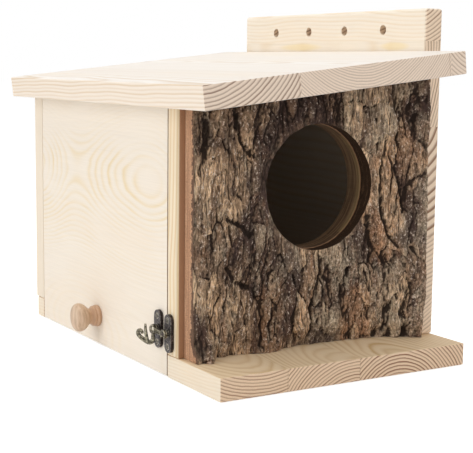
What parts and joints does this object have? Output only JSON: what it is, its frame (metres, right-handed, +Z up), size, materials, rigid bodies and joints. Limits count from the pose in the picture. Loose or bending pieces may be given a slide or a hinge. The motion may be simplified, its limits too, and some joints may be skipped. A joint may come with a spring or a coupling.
{
  "type": "squirrel house",
  "caption": "Wooden house for a squirrel, with a round entry through a bark slab, a sloping roof, a hinged side door with a hook latch, and a back board with hanging holes.",
  "frame": {"origin": "centre of the floor board's underside, on the surface that the house stands on", "axes": "+X towards the back board that hangs on a tree, -X the hinged door, -Y the bark face with the entry, +Z up"},
  "size_m": [0.2554, 0.365, 0.29],
  "materials": {
    "pine": "planed softwood boards, unfinished, with clear growth rings on the cut ends",
    "bark": "rough natural bark, grey-brown with deep dark fissures and tan plates",
    "hardwood": "turned pale hardwood, smooth sanded",
    "dark_bronze": "darkened antique bronze, low sheen with bright worn edges",
    "zinc_steel": "plain zinc plated steel"
  },
  "bodies": {
    "house": {"floor_board": "pine", "front_wall": "pine", "rear_wall": "pine", "back_board": "pine", "roof_board": "pine", "bark_slab": "bark", "pivot_pin_front": "zinc_steel", "pivot_pin_rear": "zinc_steel", "keeper_plate": "dark_bronze", "keeper_screw_1": "dark_bronze", "keeper_screw_2": "dark_bronze", "floor_screw_1": "zinc_steel", "floor_screw_2": "zinc_steel", "floor_screw_3": "zinc_steel", "floor_screw_4": "zinc_steel", "floor_screw_5": "zinc_steel", "floor_screw_6": "zinc_steel", "floor_screw_7": "zinc_steel", "back_screw_1": "zinc_steel", "back_screw_2": "zinc_steel", "back_screw_3": "zinc_steel", "back_screw_4": "zinc_steel", "back_screw_5": "zinc_steel", "rear_screw_1": "zinc_steel", "rear_screw_2": "zinc_steel", "bark_screw_1": "zinc_steel", "bark_screw_2": "zinc_steel", "bark_screw_3": "zinc_steel", "bark_screw_4": "zinc_steel"},
    "door": {"door_panel": "pine", "door_knob": "hardwood", "knob_screw": "zinc_steel", "latch_plate": "dark_bronze", "latch_rivet": "dark_bronze", "latch_screw_1": "dark_bronze", "latch_screw_2": "dark_bronze"},
    "latch": {"latch_hook": "dark_bronze"}
  },
  "joints": [
    {"name": "door_hinge", "type": "hinge", "parent": "house", "child": "door", "pos_m": [-0.107, 0.0335, 0.19027], "axis": [0, 1, 0], "range_deg": [0, 100]},
    {"name": "latch_swivel", "type": "hinge", "parent": "door", "child": "latch", "pos_m": [-0.1222, -0.0815, 0.0368], "axis": [-1, 0, 0], "range_deg": [0, 110]}
  ]
}
